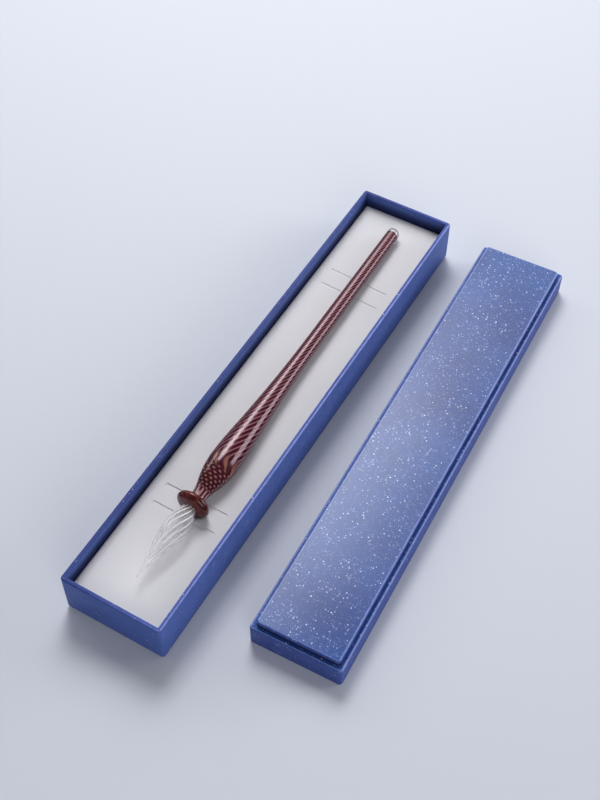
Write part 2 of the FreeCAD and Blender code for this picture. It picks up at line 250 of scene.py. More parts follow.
def mark_folds(piece, levels, wear_and_highlight, crease_shade):
    # Give each point an attribute: how pale the rounded folds at the levels are drawn, partly wear and partly
    # painted
    #     # highlight, 0 on the flats, and below 0 the depth of painted shade. The near side faces away from
    #     the light and is drawn hardly pale.
    fold_height = 0.6 * mm
    near_wear_and_highlight = 0.1
    fold = piece.data.attributes.new("fold", "FLOAT", "POINT")
    for vertex in piece.data.vertices:
        at_level = any(level - fold_height < vertex.co.z < level + 0.01 * mm for level in levels)
        depth = crease_shade(vertex)
        if depth > 0:
            fold.data[vertex.index].value = -depth
        elif at_level and 0.55 < vertex.normal.z < 0.999:
            fold.data[vertex.index].value = near_wear_and_highlight if faces_near_end(vertex) else wear_and_highlight(vertex)


def pick(kind, wanted):
    # Select the edges, faces or vertices of the mesh in edit mode that fit a test.
    bpy.ops.mesh.select_mode(type=kind)
    bpy.ops.mesh.select_all(action="DESELECT")
    mesh = bmesh.from_edit_mesh(bpy.context.edit_object.data)
    items = {"VERT": mesh.verts, "EDGE": mesh.edges, "FACE": mesh.faces}[kind]
    for item in items:
        item.select_set(bool(wanted(item)))
    mesh.select_flush_mode()
    bmesh.update_edit_mesh(bpy.context.edit_object.data)


def middle(item):
    return sum((vertex.co for vertex in item.verts), Vector()) / len(item.verts)


def near(value, target):
    return abs(value - target) < 0.02 * mm


def upright(edge):
    run = edge.verts[0].co - edge.verts[1].co
    return near(run.x, 0) and near(run.y, 0) and abs(run.z) > 1 * mm


def level_at(edge, height):
    return near(edge.verts[0].co.z, height) and near(edge.verts[1].co.z, height)


def folded_at(edge, height):
    # True where a level face meets an upright one at that height.
    return level_at(edge, height) and any(abs(face.normal.z) < 0.2 for face in edge.link_faces)


def block_with_rim(centre, size, rim):
    # A block left in edit mode, with its top face drawn in by the width of a rim and picked.
    bpy.ops.object.select_all(action="DESELECT")
    bpy.ops.mesh.primitive_cube_add(size=1, location=centre, scale=size)
    bpy.ops.object.transform_apply()
    bpy.ops.object.mode_set(mode="EDIT")
    pick("FACE", lambda face: face.normal.z > 0.9)
    bpy.ops.mesh.inset(thickness=rim, use_even_offset=True)
    return bpy.context.active_object


def round_edges(wanted, rounding, segments):
    pick("EDGE", wanted)
    bpy.ops.mesh.bevel(offset=rounding, segments=segments, affect="EDGES")


def thicken(piece, thickness):
    skin = piece.modifiers.new("thickness", "SOLIDIFY")
    skin.thickness = thickness
    skin.offset = -1
    bpy.ops.object.modifier_apply(modifier=skin.name)


def settle(piece, name, finish, angle):
    # Name the piece, dress it, shade it smooth and put its place into its mesh.
    bpy.ops.object.transform_apply()
    bpy.ops.object.shade_smooth_by_angle(angle=math.radians(angle))
    piece.name = name
    piece.data.name = name
    piece.data.materials.clear()
    piece.data.materials.append(finish)


tray_low, tray_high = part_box("tray_wrap")
pad_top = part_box("insert_facing")[1].z
wall = 1.6 * mm
tray_floor = 1.6 * mm
paper_thickness = 0.2 * mm
corner_rounding = 1.2 * mm
foot_rounding = 1.0 * mm
rim_rounding = 0.45 * mm
fold_margin = 0.18 * mm
# The painted shade down the inside walls fades out over this height above the pad.
pad_shade_height = 4.6 * mm
tray_cover = block_with_rim((tray_low + tray_high) / 2, tray_high - tray_low, wall)
bpy.ops.mesh.extrude_region_move(TRANSFORM_OT_translate={"value": (0, 0, tray_floor - tray_high.z)})
bpy.ops.mesh.delete(type="FACE")
round_edges(lambda edge: upright(edge) and near(abs(middle(edge).x), tray_high.x), corner_rounding,
            segments=5)
round_edges(lambda edge: level_at(edge, tray_low.z), foot_rounding, segments=4)
round_edges(lambda edge: folded_at(edge, tray_high.z), rim_rounding, segments=4)
pick("FACE", lambda face: face.normal.z > 0.999)
bpy.ops.mesh.inset(thickness=fold_margin, use_even_offset=True)
for height in (pad_top, pad_top + pad_shade_height):
    bpy.ops.mesh.select_all(action="SELECT")
    bpy.ops.mesh.bisect(plane_co=(0, 0, height), plane_no=(0, 0, 1))
bpy.ops.object.mode_set(mode="OBJECT")
thicken(tray_cover, paper_thickness)


def rim_wear_and_highlight(vertex):
    # The pale fold line, partly wear and partly painted highlight, is weaker on the left rim, where less
    # light catches it.
    return 0.6 if vertex.co.x < tray_low.x + wall else 1.0


def inside_shade(vertex):
    # Painted shade: the inside walls are darkened down to the pad and fade out above it, and the left rim's
    # top is painted darker
    #     # than the others. A thin line at its outer edge is kept out of that shade and stays pale, as a
    #     painted highlight.
    pale_edge, inner_face = 0.25 * mm, 1.3 * mm
    left_rim_shade, pad_line_shade = 0.4, 1.7
    left_rim = vertex.co.x < tray_low.x + wall + 0.1 * mm and vertex.co.z > tray_high.z - 0.6 * mm
    if left_rim and vertex.normal.z > 0.3 and vertex.co.x > tray_low.x + pale_edge:
        return left_rim_shade
    inside = abs(vertex.co.x) < tray_high.x - inner_face and abs(vertex.co.y) < tray_high.y - inner_face
    return pad_line_shade if inside and vertex.co.z < pad_top + 0.02 * mm else 0.0


mark_folds(tray_cover, [tray_high.z], rim_wear_and_highlight, inside_shade)
tray_paper = covering_paper("flecked_tray_paper", "#2b3f90", "#384e9c", "#40589c", speck_share=0.12,
                            fibre_strength=0.25, pressed_level=tray_high.z + 1 * mm)
settle(tray_cover, "tray_cover", tray_paper, angle=40)
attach(tray_cover, "tray")
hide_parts("tray_wrap")


# Pad: soft foam board with a short pale flock on its face, die-cut with two pairs of cross
# slits for a ribbon or clip. It is pushed into the tray, and the pen has pressed a bed in it.
foam_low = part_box("insert_foam")[0]
pad_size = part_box("insert_facing")[1] - foam_low
slit_half_length = 12.25 * mm
slit_spacing = 8.1 * mm
slits = []
for place, slant, gape in ((-56.9 * mm, 0.027, 0.58 * mm), (57.7 * mm, 0.063, 0.42 * mm)):
    slits += [(place - slit_spacing / 2, slant, gape), (place + slit_spacing / 2, slant, gape)]


def off_slit(point, slit):
    # How far along the tray a point lies from a slit, which was cut a little askew.
    row, slant = slit[:2]
    return abs(point.y + slant * point.x - row)


bpy.ops.object.select_all(action="DESELECT")
bpy.ops.mesh.primitive_grid_add(x_subdivisions=44, y_subdivisions=250, size=1, location=(0, 0, pad_top))
pad = bpy.context.active_object
pad.scale = (pad_size.x, pad_size.y, 1)
bpy.ops.object.transform_apply()
bpy.ops.object.mode_set(mode="EDIT")
for row, slant, gape in slits:
    for lip in (-gape, gape):
        bpy.ops.mesh.select_all(action="SELECT")
        bpy.ops.mesh.bisect(plane_co=(0, row + lip, 0), plane_no=Vector((slant, 1, 0)).normalized())
for end in (-1, 1):
    bpy.ops.mesh.select_all(action="SELECT")
    bpy.ops.mesh.bisect(plane_co=(end * slit_half_length, 0, 0), plane_no=(1, 0, 0))
pick("EDGE", lambda edge: len(edge.link_faces) == 1)
bpy.ops.mesh.extrude_region_move(TRANSFORM_OT_translate={"value": (0, 0, foam_low.z - pad_top)})
bpy.ops.mesh.edge_face_add()
slit_depth_share = 0.6
for slit in slits:
    pick("FACE", lambda face: face.normal.z > 0.9 and abs(middle(face).x) < slit_half_length and
         off_slit(middle(face), slit) < slit[2])
    bpy.ops.mesh.extrude_region_move(TRANSFORM_OT_translate={"value": (0, 0, -slit_depth_share * slit[2])})
# The pad's border is rounded first, more than the lips of the slits after it.
border = 16.5 * mm
longer_by = 84 * mm
for reach, segments, rounding in ((border, 4, 0.7 * mm), (0, 3, 0.3 * mm)):
    pick("EDGE", lambda edge: folded_at(edge, pad_top) and
         max(abs(middle(edge).x), abs(middle(edge).y) - longer_by) > reach)
    bpy.ops.mesh.bevel(offset=rounding, segments=segments, affect="EDGES", clamp_overlap=True)
bpy.ops.object.mode_set(mode="OBJECT")
# Flock: cut fibre stuck on end, so it is quite matt with a faint sheen. Its 0.15 mm pile is
# drawn 0.35 mm coarse so that it shows.
flock, tree, shader = finish_named("pale_grey_flock", {"Roughness": 0.95, "Specular IOR Level": 0.15,
                                                       "Sheen Weight": 0.15, "Sheen Roughness": 0.5})
place = add(tree, "TexCoord", {}).outputs["Object"]
shade = add(tree, "TexNoise", {"Vector": place, "Scale": 1 / (26 * mm), "Detail": 3.0})
pile = add(tree, "TexNoise", {"Vector": place, "Scale": 1 / (0.35 * mm), "Detail": 3.0})
tone = add(tree, "Mix", {"Factor": shade.outputs["Fac"], "A": linear("#dbd9de"), "B": linear("#e4e3e7")},
           data_type="RGBA")
pile_share = add(tree, "MapRange", {"Value": pile.outputs["Fac"], "From Min": 0.25, "From Max": 0.75,
                                    "To Min": 0.95, "To Max": 1.03})
nap = add(tree, "Mix", {"Factor": 1.0, "A": tone.outputs["Result"], "B": pile_share.outputs["Result"]},
          data_type="RGBA", blend_type="MULTIPLY")
tree.links.new(nap.outputs["Result"], shader.inputs["Base Color"])
fuzz = add(tree, "Bump", {"Height": pile.outputs["Fac"], "Strength": 0.2, "Distance": 0.08 * mm})
tree.links.new(fuzz.outputs["Normal"], shader.inputs["Normal"])
settle(pad, "slit_pad", flock, angle=50)

# The pen's place and shape, which press the bed. It lies with its tail just clear of the pad and its
# collar sunk in. Stations and radii are in mm, along the pen from its tail and from its axis.
pen_tail = Vector((0.7, 90.8, 15.1)) * mm
pen_climb = math.radians(0.5438)
pen_turn = math.radians(0.4)
pen_heading = Vector((math.sin(pen_turn) * math.cos(pen_climb), -math.cos(pen_turn) * math.cos(pen_climb),
                      math.sin(pen_climb)))
pen_turned = Vector((0, 0, 1)).rotation_difference(pen_heading).to_matrix().to_4x4()
pen_place = Matrix.Translation(pen_tail) @ pen_turned
barrel_start, barrel_end = 3.2, 146.5
tail_radius = 2.5
stem_end, stem_radius = 66.0, 2.825
stem_slope = (stem_radius - tail_radius) / (stem_end - barrel_start)
belly_station, belly_radius = 128.0, 5.4
belly_sweep, grip_sweep = 150.0, 36.0
neck_station, neck_radius = 145.1, 2.65
collar_station, collar_half = 147.8, 2.0
collar_core, collar_swell = 2.8, 3.3
bed_end = 150.2


def hollow_arc(start, slope, sweep):
    # The hollow that leaves a line of that slope at start and runs into the belly's or the grip's round
    # sweep: its centre's station and distance, its radius, and the station where the two meet.
    lean = math.hypot(slope, 1)
    along, out = -slope / lean, 1 / lean
    off_along, off_out = start[0] - belly_station, start[1] - belly_radius + sweep
    radius = (off_along ** 2 + off_out ** 2 - sweep ** 2) / (2 * (sweep - along * off_along - out * off_out))
    centre = start[0] + along * radius
    meeting = belly_station + (centre - belly_station) * sweep / (sweep + radius)
    return centre, start[1] + out * radius, radius, meeting


flare_centre, flare_out, flare_sweep, flare_end = hollow_arc((stem_end, stem_radius), stem_slope, belly_sweep)
throat_centre, throat_out, throat_sweep, grip_end = hollow_arc((neck_station, neck_radius), 0.0, grip_sweep)


def barrel_radius(station):
    # Stem, hollow flare, belly, grip, hollow throat and neck, one after the other.
    if station < stem_end:
        return tail_radius + stem_slope * (station - barrel_start)
    if station < flare_end:
        return flare_out - math.sqrt(flare_sweep ** 2 - (station - flare_centre) ** 2)
    if station < grip_end:
        sweep = belly_sweep if station < belly_station else grip_sweep
        return belly_radius - sweep + math.sqrt(sweep ** 2 - (station - belly_station) ** 2)
    if station < neck_station:
        return throat_out - math.sqrt(throat_sweep ** 2 - (station - throat_centre) ** 2)
    return neck_radius


def pen_underside(x, y):
    # Height of the pen's underside over a point of the pad, or None beside the pen.
    station = (pen_tail.y - y) / mm
    if not barrel_start < station < bed_end:
        return None
    axis = pen_tail + pen_heading * station * mm
    off_collar = (station - collar_station) / collar_half
    radius = barrel_radius(min(station, barrel_end))
    if abs(off_collar) < 1:
        radius = max(radius, collar_core + collar_swell * math.sqrt(1 - off_collar ** 2))
    aside = (x - axis.x) / mm
    if abs(aside) >= radius:
        return None
    return axis.z - math.sqrt(radius ** 2 - aside ** 2) * mm


# The pad gives under the belly and the collar: points under the pen go down to its underside, and
# the flock round them is drawn down in turn.
bed_depth = 3 * mm
bed_clearance = 0.12 * mm
bed_reach, drawn_reach = 12 * mm, 9 * mm
drawn_end = -66 * mm
bed_turns = 6
for turn in range(bed_turns):
    depths = {}
    for vertex in pad.data.vertices:
        if vertex.co.z > pad_top - bed_depth and abs(vertex.co.x) < bed_reach:
            under = pen_underside(vertex.co.x, vertex.co.y)
            if under is not None and vertex.co.z > under - bed_clearance:
                depths[vertex.index] = under - bed_clearance
    for index, depth in depths.items():
        pad.data.vertices[index].co.z = depth
    if turn == bed_turns - 1:
        break
    bpy.ops.object.mode_set(mode="EDIT")
    pick("VERT", lambda vertex: vertex.co.z > pad_top - bed_depth and abs(vertex.co.x) < drawn_reach and
         drawn_end < vertex.co.y < 0 and all(off_slit(vertex.co, slit) > 1 * mm for slit in slits))
    bpy.ops.mesh.vertices_smooth(factor=0.5, repeat=2)
    bpy.ops.object.mode_set(mode="OBJECT")
# The flock is uneven by up to 0.1 mm, in waves some 17 mm long.
unevenness = 0.05 * mm
waves_per_metre = 60
for vertex in pad.data.vertices:
    if vertex.co.z > pad_top - 2 * unevenness:
        vertex.co.z -= unevenness * (1 + noise.noise(vertex.co * waves_per_metre))
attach(pad, "tray")
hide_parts("insert_foam", "insert_facing")


# Barrel: solid lampworked glass, a dark red cane with pale threads twisted into it, drawn to
# a thin stem and gathered to a belly and grip.
def first_ring(station, radius, sides):
    # A filled circle across the pen's axis.
    bpy.ops.object.select_all(action="DESELECT")
    bpy.ops.mesh.primitive_circle_add(vertices=sides, radius=radius * mm, fill_type="NGON",
                                      location=(0, 0, station * mm))
    bpy.ops.object.transform_apply()
    return bpy.context.active_object


def draw_out(station, next_station, growth):
    # Draw the picked ring on to the next station along the pen, and widen it there.
    bpy.ops.mesh.extrude_region_move(TRANSFORM_OT_translate={"value": (0, 0, (next_station - station) * mm)})
    bpy.ops.transform.resize(value=(growth, growth, 1), center_override=(0, 0, next_station * mm))


def close_mesh():
    # Turn all faces outwards and leave edit mode.
    bpy.ops.mesh.select_all(action="SELECT")
    bpy.ops.mesh.normals_make_consistent(inside=False)
    bpy.ops.object.mode_set(mode="OBJECT")


def turned_rings(rings, sides):
    # A circle drawn out ring by ring along the pen's axis, with both ends closed.
    first_station, first_radius = rings[0]
    piece = first_ring(first_station, first_radius, sides)
    bpy.ops.object.mode_set(mode="EDIT")
    bpy.ops.mesh.select_all(action="SELECT")
    for (station, radius), (next_station, next_radius) in zip(rings, rings[1:]):
        draw_out(station, next_station, next_radius / radius)
    close_mesh()
    return piece


# Rings stand 1 mm apart, and 0.5 mm from the belly on.
barrel_stations = [barrel_start + step for step in range(120)]
barrel_stations += [123.2 + 0.5 * step for step in range(46)] + [barrel_end]
barrel = turned_rings([(station, barrel_radius(station)) for station in barrel_stations], sides=64)

# Each point of the barrel keeps two pairs of numbers: its thread number, which counts round the
# glass and follows the twist, and its place in the grip's net, both with its station. The twist
# is right-handed to the shoulder and turns back there.
thread_count = 20
net_count = 12
stem_twist, belly_gain, back_twist = 0.36, 0.14, 1.5
full_gain_growth = 2.7
shoulder_start, shoulder_length = 125.0, 9.0
twist = {}
total = 0.0
for station, after in zip(barrel_stations, barrel_stations[1:] + [barrel_end]):
    twist[round(station, 3)] = total
    growth = barrel_radius(station) - tail_radius
    slope = stem_twist + belly_gain * min(1.0, growth / full_gain_growth)
    back = min(1.0, max(0.0, (station - shoulder_start) / shoulder_length))
    slope -= back_twist * back * back * (3 - 2 * back)
    total += slope * (after - station) / barrel_radius(station)
threads = barrel.data.uv_layers.new(name="threads")
net = barrel.data.uv_layers.new(name="net")
full_turn = 2 * math.pi
for face in barrel.data.polygons:
    centre = math.atan2(face.center.y, face.center.x)
    for loop_index in face.loop_indices:
        spot = barrel.data.vertices[barrel.data.loops[loop_index].vertex_index].co
        round_it = math.atan2(spot.y, spot.x)
        if round_it - centre > math.pi:
            round_it -= full_turn
        if centre - round_it > math.pi:
            round_it += full_turn
        station = round(spot.z / mm, 3)
        threads.data[loop_index].uv = (thread_count * (round_it - twist[station]) / full_turn, station / 10)
        net.data[loop_index].uv = (net_count * round_it / full_turn, station / 10)
barrel.matrix_world = pen_place


def off_middle(tree, count):
    # How far a running count lies from the middle of its step, 0 to 0.5.
    across = add(tree, "Math", {0: count, 1: 1.0}, operation="FLOORED_MODULO")
    off = add(tree, "Math", {0: across.outputs["Value"], 1: 0.5}, operation="SUBTRACT")
    return add(tree, "Math", {0: off.outputs["Value"]}, operation="ABSOLUTE").outputs["Value"]


# Cased cane glass: almost black red glass with pinkish threads under a clear polished layer.
cane, tree, shader = finish_named("cased_cane_glass", {"Roughness": 0.12, "IOR": 1.53,
                                                       "Specular Tint": linear("#ffe6f0")})
parts = add(tree, "SeparateXYZ", {"Vector": add(tree, "UVMap", {}, uv_map="threads").outputs["UV"]})
number = parts.outputs["X"]
station = add(tree, "Math", {0: parts.outputs["Y"], 1: 10.0}, operation="MULTIPLY").outputs["Value"]
gap = off_middle(tree, number)
breadth = add(tree, "MapRange", {"Value": station, "From Min": 127.0, "From Max": 130.0, "To Min": 0.13,
                                 "To Max": 0.0})
inside = add(tree, "Math", {0: breadth.outputs["Result"], 1: gap}, operation="SUBTRACT")
thread = add(tree, "MapRange", {"Value": inside.outputs["Value"], "From Min": -0.06, "From Max": 0.10},
             interpolation_type="SMOOTHSTEP")

# At the shoulder the threads gather into eight flames, 2 mm wide, that bend back with the twist.
threads_in_flame = 2.5
flame_number = add(tree, "Math", {0: number, 1: threads_in_flame}, operation="DIVIDE")
flame_gap = off_middle(tree, flame_number.outputs["Value"])
swell_on = add(tree, "MapRange", {"Value": station, "From Min": 125.5, "From Max": 131.0},
               interpolation_type="SMOOTHSTEP")
swell_off = add(tree, "MapRange", {"Value": station, "From Min": 131.0, "From Max": 134.5, "To Min": 0.27,
                                   "To Max": 0.0}, interpolation_type="SMOOTHSTEP")
swell = add(tree, "Math", {0: swell_on.outputs["Result"], 1: swell_off.outputs["Result"]},
            operation="MULTIPLY")
flame_inside = add(tree, "Math", {0: swell.outputs["Value"], 1: flame_gap}, operation="SUBTRACT")
flame = add(tree, "MapRange", {"Value": flame_inside.outputs["Value"], "From Min": 0.0, "From Max": 0.14},
            interpolation_type="SMOOTHSTEP")

# On the grip the threads are nipped into a net of rice grains, 1.2 mm by 0.7 mm, in rows 1.2 mm apart,
# set in quincunx. They lie across the pen, with the end to the right a little nearer the nib.
row_spacing = 1.2
spot = add(tree, "SeparateXYZ", {"Vector": add(tree, "UVMap", {}, uv_map="net").outputs["UV"]})
half_row = add(tree, "Math", {0: station, 1: 0.5 / row_spacing}, operation="MULTIPLY")
offsets = []
for way in ("ADD", "SUBTRACT"):
    run = add(tree, "Math", {0: half_row.outputs["Value"], 1: spot.outputs["X"]}, operation=way)
    whole = add(tree, "Math", {0: run.outputs["Value"]}, operation="ROUND")
    offsets.append(add(tree, "Math", {0: run.outputs["Value"], 1: whole.outputs["Value"]},
                       operation="SUBTRACT"))
off_grain = add(tree, "CombineXYZ", {"X": offsets[0].outputs["Value"], "Y": offsets[1].outputs["Value"]})
long_way = add(tree, "VectorMath", {0: off_grain.outputs["Vector"], 1: (1.55, -1.55, 0.0)},
               operation="DOT_PRODUCT")
short_way = add(tree, "VectorMath", {0: off_grain.outputs["Vector"], 1: (3.6, 2.9, 0.0)},
                operation="DOT_PRODUCT")
square = add(tree, "Math", {0: long_way.outputs["Value"], 1: long_way.outputs["Value"]},
             operation="MULTIPLY")
round_off = add(tree, "Math", {0: short_way.outputs["Value"], 1: short_way.outputs["Value"],
                               2: square.outputs["Value"]}, operation="MULTIPLY_ADD")
grip_on = add(tree, "MapRange", {"Value": station, "From Min": 132.0, "From Max": 134.0},
              interpolation_type="SMOOTHSTEP")
grip_off = add(tree, "MapRange", {"Value": station, "From Min": 141.0, "From Max": 143.0, "To Min": 1.0,
                                  "To Max": 0.0}, interpolation_type="SMOOTHSTEP")
on_grip = add(tree, "Math", {0: grip_on.outputs["Result"], 1: grip_off.outputs["Result"]},
              operation="MULTIPLY")
grain = add(tree, "MapRange", {"Value": round_off.outputs["Value"], "From Min": 0.2, "From Max": 1.0,
                               "To Min": 1.0, "To Max": 0.0}, interpolation_type="SMOOTHSTEP")
net_grain = add(tree, "Math", {0: grain.outputs["Result"], 1: on_grip.outputs["Value"]},
                operation="MULTIPLY")

# At the neck the net draws out into straight streaks.
streak = add(tree, "MapRange", {"Value": off_middle(tree, spot.outputs["X"]), "From Min": 0.16,
                                "From Max": 0.30, "To Min": 1.0, "To Max": 0.0},
             interpolation_type="SMOOTHSTEP")
neck_on = add(tree, "MapRange", {"Value": station, "From Min": 141.5, "From Max": 143.0})
neck_streak = add(tree, "Math", {0: streak.outputs["Result"], 1: neck_on.outputs["Result"]},
                  operation="MULTIPLY")

place = add(tree, "TexCoord", {}).outputs["Object"]
drift = add(tree, "TexNoise", {"Vector": place, "Scale": 1 / (3.5 * mm), "Detail": 2.0})
tone = add(tree, "Mix", {"Factor": drift.outputs["Fac"], "A": linear("#26050c"), "B": linear("#4b101c")},
           data_type="RGBA")
for share, hex_colour in ((thread.outputs["Result"], "#95636f"), (flame.outputs["Result"], "#84554a"),
                          (net_grain.outputs["Value"], "#8e625a"), (neck_streak.outputs["Value"], "#a87c7c")):
    tone = add(tree, "Mix", {"Factor": share, "A": tone.outputs["Result"], "B": linear(hex_colour)},
               data_type="RGBA")
tree.links.new(tone.outputs["Result"], shader.inputs["Base Color"])
# Each thread stands up about a hundredth of a millimetre under the polish.
wave = add(tree, "MapRange", {"Value": gap, "From Max": 0.5, "To Min": 1.0, "To Max": 0.0},
           interpolation_type="SMOOTHSTEP")
raised = add(tree, "Math", {0: wave.outputs["Result"], 1: breadth.outputs["Result"]}, operation="MULTIPLY")
swelling = add(tree, "Bump", {"Height": raised.outputs["Value"], "Strength": 0.9, "Distance": 0.1 * mm})
tree.links.new(swelling.outputs["Normal"], shader.inputs["Normal"])
settle(barrel, "pen_cane_barrel", cane, angle=60)
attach(barrel, "pen")
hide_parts("pen_barrel")


# Tail: the last gather of clear glass, fire-polished to a round end on the cane. A thinner spigot
# of it reaches half a millimetre into the barrel.
spigot_radius = 2.4
tail_rings = [(0.02, 0.3)]
for step in range(1, 10):
    angle = math.radians(10 * step)
    tail_rings.append((tail_radius - tail_radius * math.cos(angle), tail_radius * math.sin(angle)))
tail_rings += [(2.85, tail_radius), (barrel_start, tail_radius), (3.22, spigot_radius), (3.7, spigot_radius)]
tail = turned_rings(tail_rings, sides=48)
tail.matrix_world = pen_place
# Clear borosilicate glass with sharp reflections. Its colour is painted dark grey where one looks along its
# edge: painted shade.
clear_glass, tree, shader = finish_named("clear_lampworked_glass", {"Roughness": 0.02, "IOR": 1.5,
                                                                    "Transmission Weight": 0.95})
edge = add(tree, "LayerWeight", {"Blend": 0.5})
painted_edge_shade = add(tree, "MapRange", {"Value": edge.outputs["Facing"], "From Min": 0.35, "From Max": 0.75,
                                    "To Max": 0.95})
tone = add(tree, "Mix", {"Factor": painted_edge_shade.outputs["Result"], "A": linear("#dfe1e6"),
                         "B": linear("#24242a")}, data_type="RGBA")
tree.links.new(tone.outputs["Result"], shader.inputs["Base Color"])
settle(tail, "pen_clear_tail", clear_glass, angle=60)
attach(tail, "pen")
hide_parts("pen_tail")


# Collar: a wound bead of red-brown glass between barrel and nib that stops the fingers.
# It was marvered by hand, so it leans a little.
hole_rings = [(2.06, 2.5), (2.1, 1.5)]
collar_rings = [(-station, radius) for station, radius in reversed(hole_rings)]
for step in range(19):
    angle = math.radians(10 * step - 90)
    collar_rings.append((collar_half * math.sin(angle), collar_core + collar_swell * math.cos(angle)))
collar = turned_rings(collar_rings + hole_rings, sides=72)
collar_lean = Matrix.Rotation(math.radians(-1.3), 4, "Z")
collar_place = pen_place @ Vector((0, 0, collar_station * mm))
collar.matrix_world = Matrix.Translation(collar_place) @ collar_lean @ pen_turned
# Selenium-red glass, deep enough to look nearly solid, with darker streaks where it was wound. Where one
# looks along its
# # edge it is painted a dark wine red: painted shade.
red_glass, tree, shader = finish_named("red_brown_glass", {"Roughness": 0.12, "IOR": 1.5,
                                                           "Specular Tint": linear("#f4d2d2")})
place = add(tree, "TexCoord", {}).outputs["Object"]
streak = add(tree, "TexNoise", {"Vector": place, "Scale": 1 / (4.5 * mm), "Detail": 2.0, "Distortion": 1.2})
streak_share = add(tree, "MapRange", {"Value": streak.outputs["Fac"], "From Min": 0.38, "From Max": 0.58})
tone = add(tree, "Mix", {"Factor": streak_share.outputs["Result"], "A": linear("#390c0d"),
                         "B": linear("#602825")}, data_type="RGBA")
edge = add(tree, "LayerWeight", {"Blend": 0.5})
painted_edge_shade = add(tree, "MapRange", {"Value": edge.outputs["Facing"], "From Min": 0.3, "From Max": 0.9,
                                    "To Max": 0.8})
tone = add(tree, "Mix", {"Factor": painted_edge_shade.outputs["Result"], "A": tone.outputs["Result"],
                         "B": linear("#4a1a28")}, data_type="RGBA")
tree.links.new(tone.outputs["Result"], shader.inputs["Base Color"])
settle(collar, "pen_red_collar", red_glass, angle=60)
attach(collar, "pen")
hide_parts("pen_collar")


# Nib: clear glass drawn from a fluted gather and twisted while hot, so that its grooves carry
# ink to the point. It is fused into the collar.
nib_start, nib_root, nib_point = 148.6, 150.1, 180.0
nib_outline = [(147.0, 2.45), (nib_root, 2.45), (152.8, 3.5), (155.8, 4.05), (158.6, 4.12), (161.5, 3.9),
               (165.0, 3.38), (168.1, 2.72), (171.5, 1.85), (174.0, 1.25), (177.0, 0.62), (nib_point, 0.25),
               (186.0, 0.0)]
flute_count = 12
flute_depth_share = 0.17
points_per_flute = 10
nib_steps = 76
turn_at_root, turn_at_point = math.radians(8.0), math.radians(2.5)
slowing_length = 18.0
melt_start, melt_length, melted_height = 172.0, 7.0, 0.92
lightened_end, lightened_length = 158.5, 8.0


def nib_radius(station):
    # Radius in mm on a smooth curve through the outline's points.
    spans = zip(nib_outline, nib_outline[1:], nib_outline[2:], nib_outline[3:])
    for (s0, r0), (s1, r1), (s2, r2), (s3, r3) in spans:
        if s1 <= station <= s2:
            t = (station - s1) / (s2 - s1)
            rise_1 = (r2 - r0) / (s2 - s0) * (s2 - s1)
            rise_2 = (r3 - r1) / (s3 - s1) * (s2 - s1)
            return (r1 * (1 + 2 * t) * (1 - t) ** 2 + rise_1 * t * (1 - t) ** 2 +
                    r2 * t * t * (3 - 2 * t) - rise_2 * t * t * (1 - t))
    return nib_outline[0][1]


nib = first_ring(nib_start, nib_radius(nib_start), points_per_flute * flute_count)
for vertex in nib.data.vertices:
    lobe = abs(math.cos(flute_count / 2 * math.atan2(vertex.co.y, vertex.co.x)))
    vertex.co.x *= 1 - flute_depth_share * (1 - lobe)
    vertex.co.y *= 1 - flute_depth_share * (1 - lobe)
bpy.ops.object.mode_set(mode="EDIT")
bpy.ops.mesh.select_all(action="SELECT")
station = nib_start
for step in range(1, nib_steps + 1):
    next_station = nib_start + (nib_point - nib_start) * step / nib_steps
    draw_out(station, next_station, nib_radius(next_station) / nib_radius(station))
    along = min(1.0, (station - nib_start) / slowing_length)
    turn_per_mm = turn_at_root + (turn_at_point - turn_at_root) * along
    bpy.ops.transform.rotate(value=-turn_per_mm * (next_station - station), orient_axis="Z",
                             center_override=(0, 0, next_station * mm))
    station = next_station
close_mesh()
# Each point keeps how high it stands between groove, 0, and ridge, 1, and how far it is lightened. The ridges
# melt together
# # towards the point. Near the collar the glass is made milky white, painted light over the collar's shadow
# seen through it.
ridge = nib.data.attributes.new("ridge", "FLOAT", "POINT")
for vertex in nib.data.vertices:
    reach = math.hypot(vertex.co.x, vertex.co.y) / mm
    melted = min(1.0, max(0.0, (vertex.co.z / mm - melt_start) / melt_length))
    height = 1 - (1 - reach / nib_radius(vertex.co.z / mm)) / flute_depth_share
    ridge.data[vertex.index].value = height + (melted_height - height) * melted
root_light = nib.data.attributes.new("root_light", "FLOAT", "POINT")
for vertex in nib.data.vertices:
    root_light.data[vertex.index].value = min(1.0, max(0.0, (lightened_end - vertex.co.z / mm) / lightened_length))
# The nib was set a little crooked on the collar.
nib_foot = pen_place @ Vector((0, 0, nib_root * mm))
crook = Matrix.Rotation(math.radians(-1.5), 4, "Z")
nib.matrix_world = Matrix.Translation(nib_foot) @ crook @ Matrix.Translation(-nib_foot) @ pen_place
# The same clear glass. White lines 0.3 mm wide along its ridges and grooves are painted highlights: the glass
# turns
# # opaque white there in place of the light the flutes gather. Here and there a flank holds a short dark
# stroke, a painted
# # dark reflection. The bending of light is drawn weaker than the real glass has it, so that the lines stay
# clean.
fluted_glass, tree, shader = finish_named("clear_fluted_glass", {
    "Roughness": 0.05, "IOR": 1.02, "Coat Weight": 0.4, "Coat Roughness": 0.22, "Coat IOR": 1.5})
place = add(tree, "TexCoord", {}).outputs["Object"]
height = add(tree, "Attribute", {}, attribute_name="ridge").outputs["Fac"]
patches = add(tree, "TexNoise", {"Vector": place, "Scale": 1 / (5 * mm), "Detail": 1.0})
crest = add(tree, "MapRange", {"Value": height, "From Min": 0.88, "From Max": 0.99})
crest_light = add(tree, "MapRange", {"Value": patches.outputs["Fac"], "From Min": 0.35, "From Max": 0.6,
                                     "To Min": 0.55, "To Max": 0.9})
